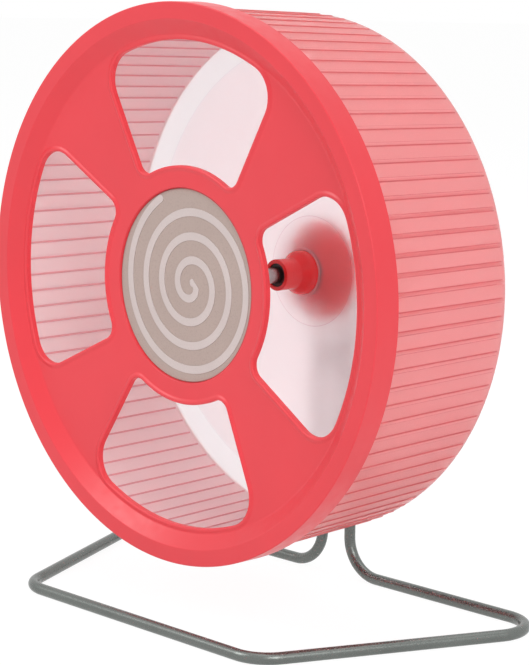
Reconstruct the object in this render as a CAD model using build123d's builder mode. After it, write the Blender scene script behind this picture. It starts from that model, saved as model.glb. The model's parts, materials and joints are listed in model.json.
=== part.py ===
from build123d import *
import math
import os

# Rodent exercise wheel on a bent wire stand, in millimetres.
# Origin: on the floor, under the middle of the wire base. X to the right, Y to the back, Z up.
# The front cover with the four windows faces -Y, and the axle runs along Y.
# A depth is counted backwards from the front of the wheel's rim.

# Stand wire
wire_d = 6.0
base_depth = 145.8
base_front_width = 174.7
base_rear_width = 306.6
wire_bend_r = 20.0
upright_spacing = 20.4

# Cross brace and axle boss, welded to the uprights
brace_d = 4.0
brace_drop = 48.5
boss_length = 14.0
boss_chamfer = 0.6
boss_bead_r = 1.7
boss_bead_sweep = 50.0
brace_bead_r = 1.0

# Axle, with its tapped front end
axle_d = 8.0
axle_chamfer = 0.5
screw_d = 4.0
screw_length = 12.0
screw_head_r = 3.6
screw_head_h = 2.4
screw_slot_width = 1.0
screw_slot_depth = 1.2
washer_r = 7.5
washer_t = 1.0

# Gaps of the wheel over the floor and in front of the axle boss
rim_floor_gap = 29.3
boss_gap = 2.4

# Front cover: rim, cove and dished face
rim_r = 140.2
rim_edge_r = 1.3
rim_land_width = 8.4
rim_land_fall = 0.4
rim_crest_r = 3.0
cove_width = 7.6
cove_r = 4.0
skirt_depth = 14.5
skirt_t = 2.0
shell_t = 2.5
face_rim_depth = 6.3
face_hub_depth = 9.7

# Four windows in the front cover
window_count = 4
window_turn = -2.8
window_inner_r = 60.0
window_cove_gap = 2.4
window_side_angle = 28.35
window_side_offset = 5.2
window_inner_fillet = 7.0
window_outer_fillet = 15.0
window_lip_width = 3.2
window_lip_height = 0.8

# Centre disc and its spiral
disc_r = 48.6
disc_t = 1.6
disc_sink = 1.0
disc_clearance = 0.15
disc_edge_r = 0.4
spiral_pitch = 12.0
spiral_width = 4.2
spiral_height = 0.25
spiral_first_turn = 0.17
spiral_last_turn = 3.97
spiral_zero_angle = 108.0
spiral_shift_x = 4.4
spiral_shift_z = 0.5
spiral_steps_per_turn = 12

# Front hub, hidden behind the centre disc
pocket_r = 10.6
pocket_sink = 6.2
pocket_wall = 2.4
pocket_floor_t = 2.5
front_boss_wall = 3.0
front_boss_length = 12.0
bush_wall = 2.0
bush_flange_width = 2.5
bush_flange_t = 1.2

# Drum: ribbed tread and dished back wall
drum_fit = 0.7
drum_taper = 2.7
drum_wall = 1.8
tread_end_depth = 95.7
drum_corner_r = 3.0
drum_inner_corner_r = 1.2
drum_edge_r = 0.5
corner_band_width = 14.0
corner_band_rise = 3.5
back_wall_rise = 1.9
hub_circle_r = 29.3
hub_seat_width = 2.15
hub_cone_rise = 6.7
rib_count = 96
rib_width = 2.0
rib_height = 0.5
rung_width = 0.9
rung_height = 0.6
rib_front_depth = 9.0
rib_end_gap = 1.2

# Rear hub housing, in front of the drum's back wall
tube_r = 8.25
tube_wall = 0.9
tube_lip_r = 0.4
tube_length = 11.1
mouth_bush_sink = 0.8
mouth_bush_length = 9.0
housing_length = 8.6
housing_rim = 1.15
shoulder_rise = 4.8
shoulder_fillet = 1.6
shoulder_round = 5.0
chamber_step = 0.55
spigot_wall = 1.05
spigot_length = 3.6
spigot_clearance = 0.1

# Rear hub flange, behind the drum's back wall
bell_r = 26.3
bell_rise = 14.3
bell_t = 1.8
bell_bore_step = 0.3
bell_seat_setback = 0.05
bell_web_t = 1.8

# Ball bearing in the rear housing
bearing_wall = 5.5
bearing_width = 6.0
bearing_overhang = 1.2
race_t = 1.4
ball_groove_sink = 0.15
ball_count = 8
cage_t = 1.5
cage_end_gap = 0.2
cage_clearance = 0.1
shield_t = 0.3
shield_sink = 0.3
shield_clearance = 0.1

# Retaining clip in the axle's groove
clip_t = 1.0
clip_height = 2.0
clip_groove_sink = 0.7
clip_mouth = 4.6

# Clearances between the turning and the fixed pieces
running_clearance = 0.05
ball_clearance = 0.05
end_gap = 0.4

# Radii that follow from the sizes above
wire_r = wire_d / 2
axle_r = axle_d / 2
upright_x = upright_spacing / 2
boss_r = upright_x - wire_r
land_inner_r = rim_r - rim_land_width
cove_inner_r = land_inner_r - cove_width
window_outer_r = cove_inner_r - window_cove_gap
skirt_inner_r = rim_r - skirt_t
drum_front_r = skirt_inner_r - drum_fit
drum_rear_r = drum_front_r - drum_taper
disc_seat_r = disc_r + disc_clearance
bush_bore_r = axle_r + running_clearance
front_bush_r = bush_bore_r + bush_wall
tube_bore_r = tube_r - tube_wall
chamber_r = tube_bore_r - chamber_step
clip_r = axle_r + clip_height
clip_groove_r = axle_r - clip_groove_sink
inner_race_r = axle_r + race_t
bearing_r = axle_r + bearing_wall
outer_race_bore_r = bearing_r - race_t
ball_circle_r = (inner_race_r + outer_race_bore_r) / 2
ball_r = (outer_race_bore_r - inner_race_r) / 2 + ball_groove_sink
spigot_r = bearing_r + spigot_wall
housing_r = spigot_r + housing_rim
seat_hole_r = spigot_r + spigot_clearance
hub_seat_r = seat_hole_r + hub_seat_width
bell_seat_r = hub_seat_r - bell_seat_setback
bell_bore_r = outer_race_bore_r + bell_bore_step

# Depths that follow from the sizes above
rim_back_depth = rim_land_fall + shell_t
rib_back_depth = tread_end_depth - rib_end_gap
back_wall_rim_depth = tread_end_depth + corner_band_rise
back_wall_hub_depth = back_wall_rim_depth + back_wall_rise
disc_front_depth = face_hub_depth + disc_sink
disc_back_depth = disc_front_depth + disc_t
pocket_floor_depth = disc_back_depth + pocket_sink
pocket_back_depth = pocket_floor_depth + pocket_floor_t
front_boss_end_depth = pocket_back_depth + front_boss_length
bush_front_depth = pocket_floor_depth - bush_flange_t
axle_front_depth = bush_front_depth - end_gap
washer_front_depth = axle_front_depth - washer_t
hub_seat_depth = back_wall_hub_depth - hub_cone_rise
hub_seat_back_depth = hub_seat_depth + drum_wall
spigot_end_depth = hub_seat_back_depth + spigot_length
bearing_back_depth = hub_seat_depth + bearing_overhang
bearing_front_depth = bearing_back_depth - bearing_width
ball_depth = bearing_back_depth - bearing_width / 2
clip_front_depth = bearing_front_depth - clip_t
shoulder_depth = hub_seat_depth - housing_length
tube_mouth_depth = shoulder_depth - tube_length
mouth_bush_depth = tube_mouth_depth + mouth_bush_sink
mouth_bush_end_depth = mouth_bush_depth + mouth_bush_length
bell_depth = hub_seat_back_depth + bell_rise
boss_front_depth = bell_depth + boss_gap
stand_back_depth = boss_front_depth + boss_length
wire_depth = stand_back_depth - wire_r

# Places of the base's bars, of the wheel and of its axle line
front_bar_y = -base_depth / 2
rear_bar_y = base_depth / 2
rim_front_y = rear_bar_y - wire_depth
axle_height = rim_r + rim_floor_gap
axle_line = Axis((0, 0, axle_height), (0, -1, 0))

os.makedirs("parts", exist_ok=True)


def section_plane(angle=0):
    """Half section through the axle: local x is the radius, local y the depth."""
    turn = math.radians(angle)
    return Plane(
        origin=(0, rim_front_y, axle_height),
        x_dir=(math.cos(turn), 0, math.sin(turn)),
        z_dir=(-math.sin(turn), 0, math.cos(turn)),
    )


def face_plane(depth):
    """Plane across the axle, seen from the front: local x to the right, local y up."""
    return Plane(origin=(0, rim_front_y + depth, axle_height), x_dir=(1, 0, 0), z_dir=(0, -1, 0))


def turned(*points):
    """Turn a closed outline of (radius, depth) points about the axle, in the open part."""
    with BuildSketch(section_plane()) as outline:
        Polygon(*points, align=None)
    revolve(outline.sketch, axis=axle_line)


# Stand wire: one wire, bent to a trapezoid base and a tall hairpin at the back
base_corners = [
    (0, front_bar_y, wire_r),
    (base_front_width / 2, front_bar_y, wire_r),
    (base_rear_width / 2, rear_bar_y, wire_r),
    (upright_x, rear_bar_y, wire_r),
    (upright_x, rear_bar_y, axle_height),
]
hairpin_reach = upright_x * math.sqrt(0.5)
with BuildPart() as stand_wire:
    with BuildLine() as wire_path:
        FilletPolyline(*base_corners, radius=wire_bend_r)
        ThreePointArc(
            base_corners[-1],
            (hairpin_reach, rear_bar_y, axle_height + hairpin_reach),
            (0, rear_bar_y, axle_height + upright_x),
        )
    with BuildSketch(Plane(origin=base_corners[0], z_dir=(1, 0, 0))):
        Circle(wire_r)
    sweep(path=wire_path.line)
    mirror(about=Plane.YZ)
stand_wire.part.label = "stand_wire"
export_step(stand_wire.part, "parts/stand_wire.step")

# Cross brace: a short rod between the uprights, its ends shaped to the wire
brace_start = Plane(
    origin=(-upright_x, rear_bar_y, axle_height - brace_drop), x_dir=(0, 1, 0), z_dir=(1, 0, 0)
)
with BuildPart() as cross_brace:
    with BuildSketch(brace_start):
        Circle(brace_d / 2)
    extrude(amount=upright_spacing)
    add(stand_wire.part, mode=Mode.SUBTRACT)
cross_brace.part.label = "cross_brace"
export_step(cross_brace.part, "parts/cross_brace.step")

# Axle boss: a turned collar that fills the hairpin's loop and holds the axle
with BuildPart() as axle_boss:
    turned(
        (axle_r, boss_front_depth),
        (boss_r - boss_chamfer, boss_front_depth),
        (boss_r, boss_front_depth + boss_chamfer),
        (boss_r, stand_back_depth - boss_chamfer),
        (boss_r - boss_chamfer, stand_back_depth),
        (axle_r, stand_back_depth),
    )
axle_boss.part.label = "axle_boss"
export_step(axle_boss.part, "parts/axle_boss.step")

# Boss welds: three beads in front, in the groove between the boss and the wire
with BuildPart() as boss_welds:
    for bead_angle in (0, 90, 180):
        with BuildSketch(section_plane(bead_angle - boss_bead_sweep / 2)):
            with Locations((boss_r, wire_depth - wire_r)):
                Circle(boss_bead_r)
        revolve(axis=axle_line, revolution_arc=boss_bead_sweep)
    add(stand_wire.part, mode=Mode.SUBTRACT)
    add(axle_boss.part, mode=Mode.SUBTRACT)
boss_welds.part.label = "boss_welds"
export_step(boss_welds.part, "parts/boss_welds.step")

# Brace welds: a small ring of weld where each end of the brace meets its upright
brace_line = Axis(brace_start.origin, (1, 0, 0))
with BuildPart() as brace_welds:
    for bead_x in (wire_r, upright_spacing - wire_r):
        with BuildSketch(Plane(origin=brace_start.origin, x_dir=(1, 0, 0), z_dir=(0, -1, 0))):
            with Locations((bead_x, brace_d / 2)):
                Circle(brace_bead_r)
        revolve(axis=brace_line)
    add(stand_wire.part, mode=Mode.SUBTRACT)
    add(cross_brace.part, mode=Mode.SUBTRACT)
brace_welds.part.label = "brace_welds"
export_step(brace_welds.part, "parts/brace_welds.step")

# Axle: a straight rod, tapped at the front and grooved for its clip
with BuildPart() as axle_rod:
    turned(
        (0, axle_front_depth + screw_length),
        (screw_d / 2, axle_front_depth + screw_length),
        (screw_d / 2, axle_front_depth),
        (axle_r - axle_chamfer, axle_front_depth),
        (axle_r, axle_front_depth + axle_chamfer),
        (axle_r, clip_front_depth),
        (clip_groove_r, clip_front_depth),
        (clip_groove_r, bearing_front_depth),
        (axle_r, bearing_front_depth),
        (axle_r, stand_back_depth),
        (0, stand_back_depth),
    )
axle_rod.part.label = "axle_rod"
export_step(axle_rod.part, "parts/axle_rod.step")

# Spacer sleeve: keeps the bearing's inner race off the boss
with BuildPart() as spacer_sleeve:
    turned(
        (axle_r, bearing_back_depth),
        (inner_race_r, bearing_back_depth),
        (inner_race_r, boss_front_depth),
        (axle_r, boss_front_depth),
    )
spacer_sleeve.part.label = "spacer_sleeve"
export_step(spacer_sleeve.part, "parts/spacer_sleeve.step")

# Axle clip: an open ring in the groove, in front of the bearing's inner race
with BuildPart() as axle_clip:
    with BuildSketch(face_plane(bearing_front_depth)):
        Circle(clip_r)
        Circle(clip_groove_r, mode=Mode.SUBTRACT)
        Rectangle(clip_mouth, clip_r, align=(Align.CENTER, Align.MAX), mode=Mode.SUBTRACT)
    extrude(amount=clip_t)
axle_clip.part.label = "axle_clip"
export_step(axle_clip.part, "parts/axle_clip.step")

# End washer: stops the wheel from sliding off the front of the axle
with BuildPart() as end_washer:
    turned(
        (screw_d / 2, washer_front_depth),
        (washer_r, washer_front_depth),
        (washer_r, axle_front_depth),
        (screw_d / 2, axle_front_depth),
    )
end_washer.part.label = "end_washer"
export_step(end_washer.part, "parts/end_washer.step")

# End screw: a cheese-head screw through the washer into the axle
head_front_depth = washer_front_depth - screw_head_h
with BuildPart() as end_screw:
    turned(
        (0, head_front_depth),
        (screw_head_r, head_front_depth),
        (screw_head_r, washer_front_depth),
        (screw_d / 2, washer_front_depth),
        (screw_d / 2, axle_front_depth + screw_length),
        (0, axle_front_depth + screw_length),
    )
    with BuildSketch(face_plane(head_front_depth)):
        Rectangle(2 * screw_head_r, screw_slot_width)
    extrude(amount=-screw_slot_depth, mode=Mode.SUBTRACT)
end_screw.part.label = "end_screw"
export_step(end_screw.part, "parts/end_screw.step")

# One window: two concentric arcs and two straight sides, with rounded corners
side_turn = math.radians(window_side_angle)


def side_point(radius):
    """Point of a window's upper side at a radius, for a window that points along local x."""
    along = math.sqrt(radius**2 - window_side_offset**2)
    return (
        along * math.cos(side_turn) - window_side_offset * math.sin(side_turn),
        along * math.sin(side_turn) + window_side_offset * math.cos(side_turn),
    )


inner_corner = side_point(window_inner_r)
outer_corner = side_point(window_outer_r)
with BuildSketch() as window:
    with BuildLine():
        ThreePointArc(inner_corner, (window_inner_r, 0), (inner_corner[0], -inner_corner[1]))
        Line((inner_corner[0], -inner_corner[1]), (outer_corner[0], -outer_corner[1]))
        ThreePointArc((outer_corner[0], -outer_corner[1]), (window_outer_r, 0), outer_corner)
        Line(outer_corner, inner_corner)
    make_face()
    fillet(window.vertices().group_by(Axis.X)[-1], window_outer_fillet)
    fillet(window.vertices().group_by(Axis.X)[0], window_inner_fillet)

# Window lips: a low raised border on the cover's face around each window
with BuildSketch() as lip_outline:
    offset(window.sketch, amount=window_lip_width)
with BuildPart() as window_lips:
    with BuildSketch(face_plane(0)):
        with PolarLocations(0, window_count, start_angle=window_turn):
            add(lip_outline.sketch)
    extrude(amount=-skirt_depth)
    with BuildSketch(section_plane()):
        Polygon(
            (disc_seat_r, face_hub_depth - window_lip_height),
            (disc_seat_r, face_hub_depth + shell_t),
            (cove_inner_r, face_rim_depth + shell_t),
            (cove_inner_r, face_rim_depth - window_lip_height),
            align=None,
        )
    revolve(axis=axle_line, mode=Mode.INTERSECT)

# Front cover: one moulding with rim, skirt, dished face, windows and the front hub's boss
cove_back_r = land_inner_r + shell_t
well_r = disc_seat_r + shell_t
pocket_outer_r = pocket_r + pocket_wall
front_boss_r = front_bush_r + front_boss_wall
with BuildPart() as front_cover:
    with BuildSketch(section_plane()):
        with BuildLine():
            FilletPolyline(
                (rim_r, skirt_depth),
                (rim_r, 0),
                (land_inner_r, rim_land_fall),
                (cove_inner_r, face_rim_depth),
                (disc_seat_r, face_hub_depth),
                radius=[rim_edge_r, rim_crest_r, cove_r],
            )
            Polyline(
                (disc_seat_r, face_hub_depth),
                (disc_seat_r, disc_back_depth),
                (pocket_r, disc_back_depth),
                (pocket_r, pocket_floor_depth),
                (front_bush_r, pocket_floor_depth),
                (front_bush_r, front_boss_end_depth),
                (front_boss_r, front_boss_end_depth),
                (front_boss_r, pocket_back_depth),
                (pocket_outer_r, pocket_back_depth),
                (pocket_outer_r, disc_back_depth + shell_t),
                (well_r, disc_back_depth + shell_t),
                (well_r, face_hub_depth + shell_t),
                (cove_inner_r, face_rim_depth + shell_t),
                (cove_back_r, rim_back_depth),
                (skirt_inner_r, rim_back_depth),
                (skirt_inner_r, skirt_depth),
                (rim_r, skirt_depth),
            )
        make_face()
    revolve(axis=axle_line)
    add(window_lips.part)
    with BuildSketch(face_plane(0)):
        with PolarLocations(0, window_count, start_angle=window_turn):
            add(window.sketch)
    extrude(amount=-skirt_depth, mode=Mode.SUBTRACT)
front_cover.part.label = "front_cover"
export_step(front_cover.part, "parts/front_cover.step")

# Centre disc: a thin round plate, seated in the cover's well
with BuildPart() as centre_disc:
    turned(
        (0, disc_front_depth),
        (disc_r - disc_edge_r, disc_front_depth),
        (disc_r, disc_front_depth + disc_edge_r),
        (disc_r, disc_back_depth),
        (0, disc_back_depth),
    )
centre_disc.part.label = "centre_disc"
export_step(centre_disc.part, "parts/centre_disc.step")


def spiral_point(turn, side):
    """Point of the spiral band: side is -1 on its inner edge, 0 in its middle, 1 outside."""
    radius = spiral_pitch * turn + side * spiral_width / 2
    angle = math.radians(spiral_zero_angle - 360 * turn)
    return (radius * math.cos(angle), radius * math.sin(angle))


def spiral_cap(turn, ahead):
    """Tip of the round end of the spiral band: ahead is 1 at its outer end, -1 at the start."""
    middle = Vector(*spiral_point(turn, 0))
    across = Vector(*spiral_point(turn, 1)) - middle
    return middle + across.rotate(Axis.Z, -90 * ahead)


# Spiral inlay: an even spiral band of four turns on the disc's face
spiral_steps = round((spiral_last_turn - spiral_first_turn) * spiral_steps_per_turn)
spiral_turns = [
    spiral_first_turn + (spiral_last_turn - spiral_first_turn) * step / spiral_steps
    for step in range(spiral_steps + 1)
]
spiral_plane = face_plane(disc_front_depth).shift_origin(
    face_plane(disc_front_depth).from_local_coords((spiral_shift_x, spiral_shift_z, 0))
)
with BuildPart() as spiral_inlay:
    with BuildSketch(spiral_plane):
        with BuildLine():
            Spline(*[spiral_point(turn, 1) for turn in spiral_turns])
            Spline(*[spiral_point(turn, -1) for turn in spiral_turns])
            ThreePointArc(
                spiral_point(spiral_last_turn, 1),
                spiral_cap(spiral_last_turn, 1),
                spiral_point(spiral_last_turn, -1),
            )
            ThreePointArc(
                spiral_point(spiral_first_turn, 1),
                spiral_cap(spiral_first_turn, -1),
                spiral_point(spiral_first_turn, -1),
            )
        make_face()
    extrude(amount=spiral_height)
spiral_inlay.part.label = "spiral_inlay"
export_step(spiral_inlay.part, "parts/spiral_inlay.step")

# Front bush: a flanged sleeve in the cover's boss, running on the axle
with BuildPart() as front_bush:
    turned(
        (bush_bore_r, bush_front_depth),
        (front_bush_r + bush_flange_width, bush_front_depth),
        (front_bush_r + bush_flange_width, pocket_floor_depth),
        (front_bush_r, pocket_floor_depth),
        (front_bush_r, front_boss_end_depth),
        (bush_bore_r, front_boss_end_depth),
    )
front_bush.part.label = "front_bush"
export_step(front_bush.part, "parts/front_bush.step")


def tread_r(depth):
    """Outer radius of the drum's tapered tread at a depth."""
    taper = (drum_rear_r - drum_front_r) / (tread_end_depth + drum_wall - rim_back_depth)
    return drum_front_r + taper * (depth - rim_back_depth)


def tread_bars(width, low, high):
    """Bars along the tread, from low to high measured outwards from its outer face."""
    with BuildPart() as bars:
        with BuildSketch(*[section_plane(360 * bar / rib_count) for bar in range(rib_count)]):
            Polygon(
                (tread_r(rib_front_depth) + low, rib_front_depth),
                (tread_r(rib_front_depth) + high, rib_front_depth),
                (tread_r(rib_back_depth) + high, rib_back_depth),
                (tread_r(rib_back_depth) + low, rib_back_depth),
                align=None,
            )
        extrude(amount=width / 2, both=True)
    return bars.part


# Drum: tapered tread with ribs outside and rungs inside, and a back wall with a raised seat
band_inner_r = drum_rear_r - corner_band_width
outside_ribs = tread_bars(rib_width, -drum_wall / 2, rib_height)
inside_rungs = tread_bars(rung_width, -drum_wall - rung_height, -drum_wall / 2)
with BuildPart() as drum:
    with BuildSketch(section_plane()):
        with BuildLine():
            FilletPolyline(
                (drum_front_r, rim_back_depth),
                (drum_rear_r, tread_end_depth + drum_wall),
                (band_inner_r, back_wall_rim_depth + drum_wall),
                (hub_circle_r, back_wall_hub_depth + drum_wall),
                radius=[drum_corner_r, drum_corner_r],
            )
            Polyline(
                (hub_circle_r, back_wall_hub_depth + drum_wall),
                (hub_seat_r, hub_seat_back_depth),
                (seat_hole_r, hub_seat_back_depth),
                (seat_hole_r, hub_seat_depth),
                (hub_seat_r, hub_seat_depth),
                (hub_circle_r, back_wall_hub_depth),
                (band_inner_r, back_wall_rim_depth),
            )
            FilletPolyline(
                (band_inner_r, back_wall_rim_depth),
                (drum_rear_r - drum_wall, tread_end_depth),
                (drum_front_r - drum_wall, rim_back_depth),
                (drum_front_r, rim_back_depth),
                radius=[drum_inner_corner_r, drum_edge_r],
            )
        make_face()
    revolve(axis=axle_line)
    add(outside_ribs)
    add(inside_rungs)
drum.part.label = "drum"
export_step(drum.part, "parts/drum.step")

# Rear hub housing: a slim tube that widens to a round-shouldered cup for the bearing
with BuildPart() as hub_housing:
    with BuildSketch(section_plane()):
        with BuildLine():
            FilletPolyline(
                (tube_bore_r, mouth_bush_depth),
                (tube_bore_r, tube_mouth_depth),
                (tube_r, tube_mouth_depth),
                (tube_r, shoulder_depth),
                (housing_r, shoulder_depth + shoulder_rise),
                (housing_r, hub_seat_depth),
                radius=[tube_lip_r, tube_lip_r, shoulder_fillet, shoulder_round],
            )
            Polyline(
                (housing_r, hub_seat_depth),
                (spigot_r, hub_seat_depth),
                (spigot_r, spigot_end_depth),
                (bearing_r, spigot_end_depth),
                (bearing_r, bearing_front_depth),
                (chamber_r, bearing_front_depth),
                (chamber_r, mouth_bush_end_depth),
                (tube_bore_r, mouth_bush_end_depth),
                (tube_bore_r, mouth_bush_depth),
            )
        make_face()
    revolve(axis=axle_line)
hub_housing.part.label = "hub_housing"
export_step(hub_housing.part, "parts/hub_housing.step")

# Mouth bush: a black sleeve in the mouth of the housing's tube
with BuildPart() as mouth_bush:
    turned(
        (bush_bore_r, mouth_bush_depth),
        (tube_bore_r, mouth_bush_depth),
        (tube_bore_r, mouth_bush_end_depth),
        (bush_bore_r, mouth_bush_end_depth),
    )
mouth_bush.part.label = "mouth_bush"
export_step(mouth_bush.part, "parts/mouth_bush.step")

# Rear hub flange: a flared bell on the housing's spigot, clamping the back wall
bell_web_depth = spigot_end_depth + bell_web_t
flare_run = bell_r - bell_seat_r
flare_rise = bell_depth - hub_seat_back_depth
flare_length = math.hypot(flare_run, flare_rise)
flare_back_run = bell_t * flare_rise / flare_length
flare_back_rise = bell_t * flare_run / flare_length
web_climb = bell_web_depth - hub_seat_back_depth - flare_back_rise
web_outer_r = bell_seat_r - flare_back_run + web_climb * flare_run / flare_rise
with BuildPart() as hub_flange:
    turned(
        (bell_bore_r, bearing_back_depth),
        (bearing_r, bearing_back_depth),
        (bearing_r, spigot_end_depth),
        (spigot_r, spigot_end_depth),
        (spigot_r, hub_seat_back_depth),
        (bell_seat_r, hub_seat_back_depth),
        (bell_r, bell_depth),
        (bell_r - flare_back_run, bell_depth + flare_back_rise),
        (web_outer_r, bell_web_depth),
        (bell_bore_r, bell_web_depth),
    )
hub_flange.part.label = "hub_flange"
export_step(hub_flange.part, "parts/hub_flange.step")

# Ball bearing: two grooved races, eight balls, their cage and two shields
ball_groove_r = ball_r + ball_clearance


def cut_ball_groove():
    """Cut the balls' groove around the race in the open part."""
    with BuildSketch(section_plane()) as groove:
        with Locations((ball_circle_r, ball_depth)):
            Circle(ball_groove_r)
    revolve(groove.sketch, axis=axle_line, mode=Mode.SUBTRACT)


with BuildPart() as bearing_inner_race:
    turned(
        (axle_r, bearing_front_depth),
        (inner_race_r, bearing_front_depth),
        (inner_race_r, bearing_back_depth),
        (axle_r, bearing_back_depth),
    )
    cut_ball_groove()
bearing_inner_race.part.label = "bearing_inner_race"
export_step(bearing_inner_race.part, "parts/bearing_inner_race.step")

with BuildPart() as bearing_outer_race:
    turned(
        (outer_race_bore_r, bearing_front_depth),
        (bearing_r, bearing_front_depth),
        (bearing_r, bearing_back_depth),
        (outer_race_bore_r, bearing_back_depth),
    )
    cut_ball_groove()
bearing_outer_race.part.label = "bearing_outer_race"
export_step(bearing_outer_race.part, "parts/bearing_outer_race.step")

with BuildPart(face_plane(ball_depth)) as bearing_balls:
    with PolarLocations(ball_circle_r, ball_count):
        Sphere(ball_r)
bearing_balls.part.label = "bearing_balls"
export_step(bearing_balls.part, "parts/bearing_balls.step")

cage_width = bearing_width - 2 * (shield_sink + shield_t + cage_end_gap)
with BuildPart(face_plane(ball_depth)) as bearing_cage:
    with BuildSketch(face_plane(ball_depth + cage_width / 2)):
        Circle(ball_circle_r + cage_t / 2)
        Circle(ball_circle_r - cage_t / 2, mode=Mode.SUBTRACT)
    extrude(amount=cage_width)
    with PolarLocations(ball_circle_r, ball_count):
        Cylinder(ball_r + cage_clearance, 2 * ball_r, rotation=(0, 90, 0), mode=Mode.SUBTRACT)
bearing_cage.part.label = "bearing_cage"
export_step(bearing_cage.part, "parts/bearing_cage.step")

with BuildPart() as bearing_shields:
    for shield_depth in (
        bearing_front_depth + shield_sink,
        bearing_back_depth - shield_sink - shield_t,
    ):
        turned(
            (inner_race_r + shield_clearance, shield_depth),
            (outer_race_bore_r, shield_depth),
            (outer_race_bore_r, shield_depth + shield_t),
            (inner_race_r + shield_clearance, shield_depth + shield_t),
        )
bearing_shields.part.label = "bearing_shields"
export_step(bearing_shields.part, "parts/bearing_shields.step")
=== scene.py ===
"""Rodent exercise wheel on a bent wire stand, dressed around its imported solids.

Sizes are in millimetres. A depth is counted backwards from the front of the wheel's rim,
and a radius outwards from the axle's centre line.
"""

import json
import logging
import math
from dataclasses import dataclass, field
from enum import Enum, IntEnum

import bmesh
import bpy
import numpy as np
from mathutils import Matrix, Vector
from mathutils.geometry import delaunay_2d_cdt

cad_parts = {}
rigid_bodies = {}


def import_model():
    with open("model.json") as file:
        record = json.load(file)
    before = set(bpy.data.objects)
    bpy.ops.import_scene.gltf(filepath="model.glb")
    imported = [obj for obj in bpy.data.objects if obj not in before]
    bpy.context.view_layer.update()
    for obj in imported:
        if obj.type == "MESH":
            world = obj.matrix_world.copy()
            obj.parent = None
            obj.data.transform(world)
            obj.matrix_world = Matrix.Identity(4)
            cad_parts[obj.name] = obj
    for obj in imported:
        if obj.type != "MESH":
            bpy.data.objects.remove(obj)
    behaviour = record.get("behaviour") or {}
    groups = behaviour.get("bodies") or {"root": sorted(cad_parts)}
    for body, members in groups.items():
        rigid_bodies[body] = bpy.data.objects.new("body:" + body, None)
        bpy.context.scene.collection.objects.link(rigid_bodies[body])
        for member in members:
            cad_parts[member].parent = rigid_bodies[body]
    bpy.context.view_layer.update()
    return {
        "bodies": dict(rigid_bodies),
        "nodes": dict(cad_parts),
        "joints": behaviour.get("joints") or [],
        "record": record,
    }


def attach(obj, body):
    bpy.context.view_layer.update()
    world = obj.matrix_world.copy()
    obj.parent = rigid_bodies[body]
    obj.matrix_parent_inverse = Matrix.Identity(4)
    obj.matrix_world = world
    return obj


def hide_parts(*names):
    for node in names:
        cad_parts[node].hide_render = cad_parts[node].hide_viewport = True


LOG = logging.getLogger("exercise_wheel")
MM = 0.001
AXLE_HEIGHT = 169.5
RIM_FRONT = -51.0
# Mesh attribute marking where painted shade goes on the drum: the bars' flanks and the back wall's creases.
PAINTED_EDGE_SHADE = "painted_edge_shade"
TURN = 2 * math.pi
TINY = 1e-6
CORNER_SHARE = 0.49
MERGE = 2e-6
BATCH = 2000

Point = tuple[float, float]
Colour = tuple[float, float, float]
MeshData = tuple[list[Vector], list[tuple[int, ...]]]
Section = tuple[tuple[float, float, float], ...]
Socket = bpy.types.NodeSocket


class Body(Enum):
    """The bodies that the drawn pieces ride on."""

    STAND = "stand"
    WHEEL = "wheel"


class Slot(Enum):
    """The record's material slots of the drawn pieces."""

    COVER = "cover_plastic"
    DRUM = "drum_plastic"
    DISC = "disc_plastic"
    SPIRAL = "spiral_plastic"
    HUB = "hub_plastic"
    BUSH = "bush_plastic"
    WIRE = "wire_steel"
    WELD = "weld_steel"
    AXLE = "axle_steel"


class DrumLook(IntEnum):
    """The drum's looks, in the order of its materials."""

    OUTSIDE = 0
    INSIDE = 1
    CORNER = 2
    BACK = 3
    # The hub's seat: a pale ring of painted highlight.
    PAINTED_SEAT_HIGHLIGHT = 4


def srgb(red: int, green: int, blue: int) -> Colour:
    """Turn a colour of 0 to 255 into the linear colour that shaders take.

    Args:
        red: Red part.
        green: Green part.
        blue: Blue part.

    Returns:
        The linear colour.
    """
    parts = []
    for value in (red, green, blue):
        share = value / 255
        parts.append(share / 12.92 if share <= 0.04045 else ((share + 0.055) / 1.055) ** 2.4)
    return (parts[0], parts[1], parts[2])


def at_wheel(x: float, depth: float, up: float) -> Vector:
    """Place a point that is given from the axle's line at the rim's front.

    Args:
        x: Millimetres to the right.
        depth: Millimetres behind the rim's front.
        up: Millimetres above the axle's line.

    Returns:
        The point in metres.
    """
    return Vector((x, RIM_FRONT + depth, AXLE_HEIGHT + up)) * MM


def polar(radius: float, turn: float, centre: Point = (0.0, 0.0)) -> Point:
    """Find the point at a radius and an angle in radians from a centre."""
    return centre[0] + radius * math.cos(turn), centre[1] + radius * math.sin(turn)


def circle(radius: float, steps: int) -> list[Point]:
    """Find the points of a circle about the axle."""
    return [polar(radius, TURN * step / steps) for step in range(steps)]


def about_axle(radius: float, depth: float, turn: float) -> Vector:
    """Place a point that is given by its radius, depth and angle about the axle."""
    x, up = polar(radius, turn)
    return at_wheel(x, depth, up)


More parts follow.
